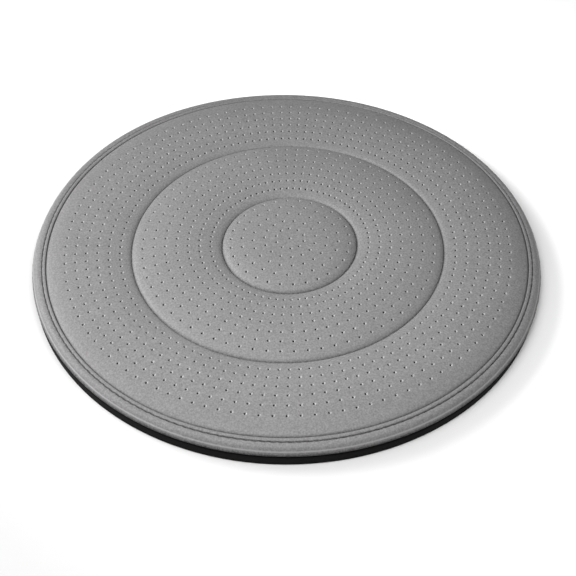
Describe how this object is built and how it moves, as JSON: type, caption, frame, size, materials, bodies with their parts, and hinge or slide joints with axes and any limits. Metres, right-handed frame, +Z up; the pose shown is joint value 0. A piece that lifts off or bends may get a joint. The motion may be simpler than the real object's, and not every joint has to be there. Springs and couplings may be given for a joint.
{
  "type": "swivel seat cushion",
  "caption": "Round padded swivel seat cushion: a perforated grey leatherette seat on foam that turns freely on a ball race over a flat black non-slip base.",
  "frame": {"origin": "on the swivel axis, at the underside of the base cover, where it rests", "axes": "+Z up along the swivel axis; the camera of the picture is on the -Y side, and +X is to its right"},
  "size_m": [0.4, 0.4, 0.0274],
  "materials": {
    "leatherette": "matte grey leatherette with a fine grain, perforated on the top panel",
    "grip_cloth": "black cloth with a fine grid of non-slip dots",
    "moulding": "black moulded plastic",
    "nylon": "natural white nylon",
    "ball_steel": "polished steel balls",
    "plated_steel": "zinc plated steel",
    "foam": "firm grey foam",
    "wadding": "soft white padding",
    "elastic": "black elastic cord"
  },
  "bodies": {
    "base": {"base_cover": "grip_cloth", "lower_plate": "moulding", "pivot_rivet": "plated_steel", "slide_washer": "nylon", "pivot_washer": "plated_steel"},
    "seat": {"upper_plate": "moulding", "pivot_bush": "nylon", "foam_core": "foam", "panel_padding": "wadding", "top_panel": "leatherette", "border_band": "leatherette", "hem_drawcord": "elastic"},
    "cage": {"ball_cage": "nylon"},
    "ball_01": {"ball_01": "ball_steel"},
    "ball_02": {"ball_02": "ball_steel"},
    "ball_03": {"ball_03": "ball_steel"},
    "ball_04": {"ball_04": "ball_steel"},
    "ball_05": {"ball_05": "ball_steel"},
    "ball_06": {"ball_06": "ball_steel"},
    "ball_07": {"ball_07": "ball_steel"},
    "ball_08": {"ball_08": "ball_steel"},
    "ball_09": {"ball_09": "ball_steel"},
    "ball_10": {"ball_10": "ball_steel"},
    "ball_11": {"ball_11": "ball_steel"},
    "ball_12": {"ball_12": "ball_steel"},
    "ball_13": {"ball_13": "ball_steel"},
    "ball_14": {"ball_14": "ball_steel"},
    "ball_15": {"ball_15": "ball_steel"},
    "ball_16": {"ball_16": "ball_steel"},
    "ball_17": {"ball_17": "ball_steel"},
    "ball_18": {"ball_18": "ball_steel"},
    "ball_19": {"ball_19": "ball_steel"},
    "ball_20": {"ball_20": "ball_steel"},
    "ball_21": {"ball_21": "ball_steel"},
    "ball_22": {"ball_22": "ball_steel"},
    "ball_23": {"ball_23": "ball_steel"},
    "ball_24": {"ball_24": "ball_steel"}
  },
  "joints": [
    {"name": "seat_swivel", "type": "hinge", "parent": "base", "child": "seat", "pos_m": [0, 0, 0.0076], "axis": [0, 0, 1], "continuous": true},
    {"name": "cage_orbit", "type": "hinge", "parent": "base", "child": "cage", "pos_m": [0, 0, 0.0076], "axis": [0, 0, 1], "continuous": true},
    {"name": "ball_spin_01", "type": "hinge", "parent": "cage", "child": "ball_01", "pos_m": [0.1, 0, 0.0076], "axis": [1, 0, 0], "continuous": true},
    {"name": "ball_spin_02", "type": "hinge", "parent": "cage", "child": "ball_02", "pos_m": [0.09659, 0.02588, 0.0076], "axis": [0.9659, 0.2588, 0], "continuous": true},
    {"name": "ball_spin_03", "type": "hinge", "parent": "cage", "child": "ball_03", "pos_m": [0.0866, 0.05, 0.0076], "axis": [0.866, 0.5, 0], "continuous": true},
    {"name": "ball_spin_04", "type": "hinge", "parent": "cage", "child": "ball_04", "pos_m": [0.07071, 0.07071, 0.0076], "axis": [0.7071, 0.7071, 0], "continuous": true},
    {"name": "ball_spin_05", "type": "hinge", "parent": "cage", "child": "ball_05", "pos_m": [0.05, 0.0866, 0.0076], "axis": [0.5, 0.866, 0], "continuous": true},
    {"name": "ball_spin_06", "type": "hinge", "parent": "cage", "child": "ball_06", "pos_m": [0.02588, 0.09659, 0.0076], "axis": [0.2588, 0.9659, 0], "continuous": true},
    {"name": "ball_spin_07", "type": "hinge", "parent": "cage", "child": "ball_07", "pos_m": [0, 0.1, 0.0076], "axis": [0, 1, 0], "continuous": true},
    {"name": "ball_spin_08", "type": "hinge", "parent": "cage", "child": "ball_08", "pos_m": [-0.02588, 0.09659, 0.0076], "axis": [-0.2588, 0.9659, 0], "continuous": true},
    {"name": "ball_spin_09", "type": "hinge", "parent": "cage", "child": "ball_09", "pos_m": [-0.05, 0.0866, 0.0076], "axis": [-0.5, 0.866, 0], "continuous": true},
    {"name": "ball_spin_10", "type": "hinge", "parent": "cage", "child": "ball_10", "pos_m": [-0.07071, 0.07071, 0.0076], "axis": [-0.7071, 0.7071, 0], "continuous": true},
    {"name": "ball_spin_11", "type": "hinge", "parent": "cage", "child": "ball_11", "pos_m": [-0.0866, 0.05, 0.0076], "axis": [-0.866, 0.5, 0], "continuous": true},
    {"name": "ball_spin_12", "type": "hinge", "parent": "cage", "child": "ball_12", "pos_m": [-0.09659, 0.02588, 0.0076], "axis": [-0.9659, 0.2588, 0], "continuous": true},
    {"name": "ball_spin_13", "type": "hinge", "parent": "cage", "child": "ball_13", "pos_m": [-0.1, 0, 0.0076], "axis": [-1, 0, 0], "continuous": true},
    {"name": "ball_spin_14", "type": "hinge", "parent": "cage", "child": "ball_14", "pos_m": [-0.09659, -0.02588, 0.0076], "axis": [-0.9659, -0.2588, 0], "continuous": true},
    {"name": "ball_spin_15", "type": "hinge", "parent": "cage", "child": "ball_15", "pos_m": [-0.0866, -0.05, 0.0076], "axis": [-0.866, -0.5, 0], "continuous": true},
    {"name": "ball_spin_16", "type": "hinge", "parent": "cage", "child": "ball_16", "pos_m": [-0.07071, -0.07071, 0.0076], "axis": [-0.7071, -0.7071, 0], "continuous": true},
    {"name": "ball_spin_17", "type": "hinge", "parent": "cage", "child": "ball_17", "pos_m": [-0.05, -0.0866, 0.0076], "axis": [-0.5, -0.866, 0], "continuous": true},
    {"name": "ball_spin_18", "type": "hinge", "parent": "cage", "child": "ball_18", "pos_m": [-0.02588, -0.09659, 0.0076], "axis": [-0.2588, -0.9659, 0], "continuous": true},
    {"name": "ball_spin_19", "type": "hinge", "parent": "cage", "child": "ball_19", "pos_m": [0, -0.1, 0.0076], "axis": [0, -1, 0], "continuous": true},
    {"name": "ball_spin_20", "type": "hinge", "parent": "cage", "child": "ball_20", "pos_m": [0.02588, -0.09659, 0.0076], "axis": [0.2588, -0.9659, 0], "continuous": true},
    {"name": "ball_spin_21", "type": "hinge", "parent": "cage", "child": "ball_21", "pos_m": [0.05, -0.0866, 0.0076], "axis": [0.5, -0.866, 0], "continuous": true},
    {"name": "ball_spin_22", "type": "hinge", "parent": "cage", "child": "ball_22", "pos_m": [0.07071, -0.07071, 0.0076], "axis": [0.7071, -0.7071, 0], "continuous": true},
    {"name": "ball_spin_23", "type": "hinge", "parent": "cage", "child": "ball_23", "pos_m": [0.0866, -0.05, 0.0076], "axis": [0.866, -0.5, 0], "continuous": true},
    {"name": "ball_spin_24", "type": "hinge", "parent": "cage", "child": "ball_24", "pos_m": [0.09659, -0.02588, 0.0076], "axis": [0.9659, -0.2588, 0], "continuous": true}
  ],
  "couplings": [
    {"joint": "cage_orbit", "follows": "seat_swivel", "ratio": 0.5},
    {"joint": "ball_spin_01", "follows": "seat_swivel", "ratio": -20},
    {"joint": "ball_spin_02", "follows": "seat_swivel", "ratio": -20},
    {"joint": "ball_spin_03", "follows": "seat_swivel", "ratio": -20},
    {"joint": "ball_spin_04", "follows": "seat_swivel", "ratio": -20},
    {"joint": "ball_spin_05", "follows": "seat_swivel", "ratio": -20},
    {"joint": "ball_spin_06", "follows": "seat_swivel", "ratio": -20},
    {"joint": "ball_spin_07", "follows": "seat_swivel", "ratio": -20},
    {"joint": "ball_spin_08", "follows": "seat_swivel", "ratio": -20},
    {"joint": "ball_spin_09", "follows": "seat_swivel", "ratio": -20},
    {"joint": "ball_spin_10", "follows": "seat_swivel", "ratio": -20},
    {"joint": "ball_spin_11", "follows": "seat_swivel", "ratio": -20},
    {"joint": "ball_spin_12", "follows": "seat_swivel", "ratio": -20},
    {"joint": "ball_spin_13", "follows": "seat_swivel", "ratio": -20},
    {"joint": "ball_spin_14", "follows": "seat_swivel", "ratio": -20},
    {"joint": "ball_spin_15", "follows": "seat_swivel", "ratio": -20},
    {"joint": "ball_spin_16", "follows": "seat_swivel", "ratio": -20},
    {"joint": "ball_spin_17", "follows": "seat_swivel", "ratio": -20},
    {"joint": "ball_spin_18", "follows": "seat_swivel", "ratio": -20},
    {"joint": "ball_spin_19", "follows": "seat_swivel", "ratio": -20},
    {"joint": "ball_spin_20", "follows": "seat_swivel", "ratio": -20},
    {"joint": "ball_spin_21", "follows": "seat_swivel", "ratio": -20},
    {"joint": "ball_spin_22", "follows": "seat_swivel", "ratio": -20},
    {"joint": "ball_spin_23", "follows": "seat_swivel", "ratio": -20},
    {"joint": "ball_spin_24", "follows": "seat_swivel", "ratio": -20}
  ]
}
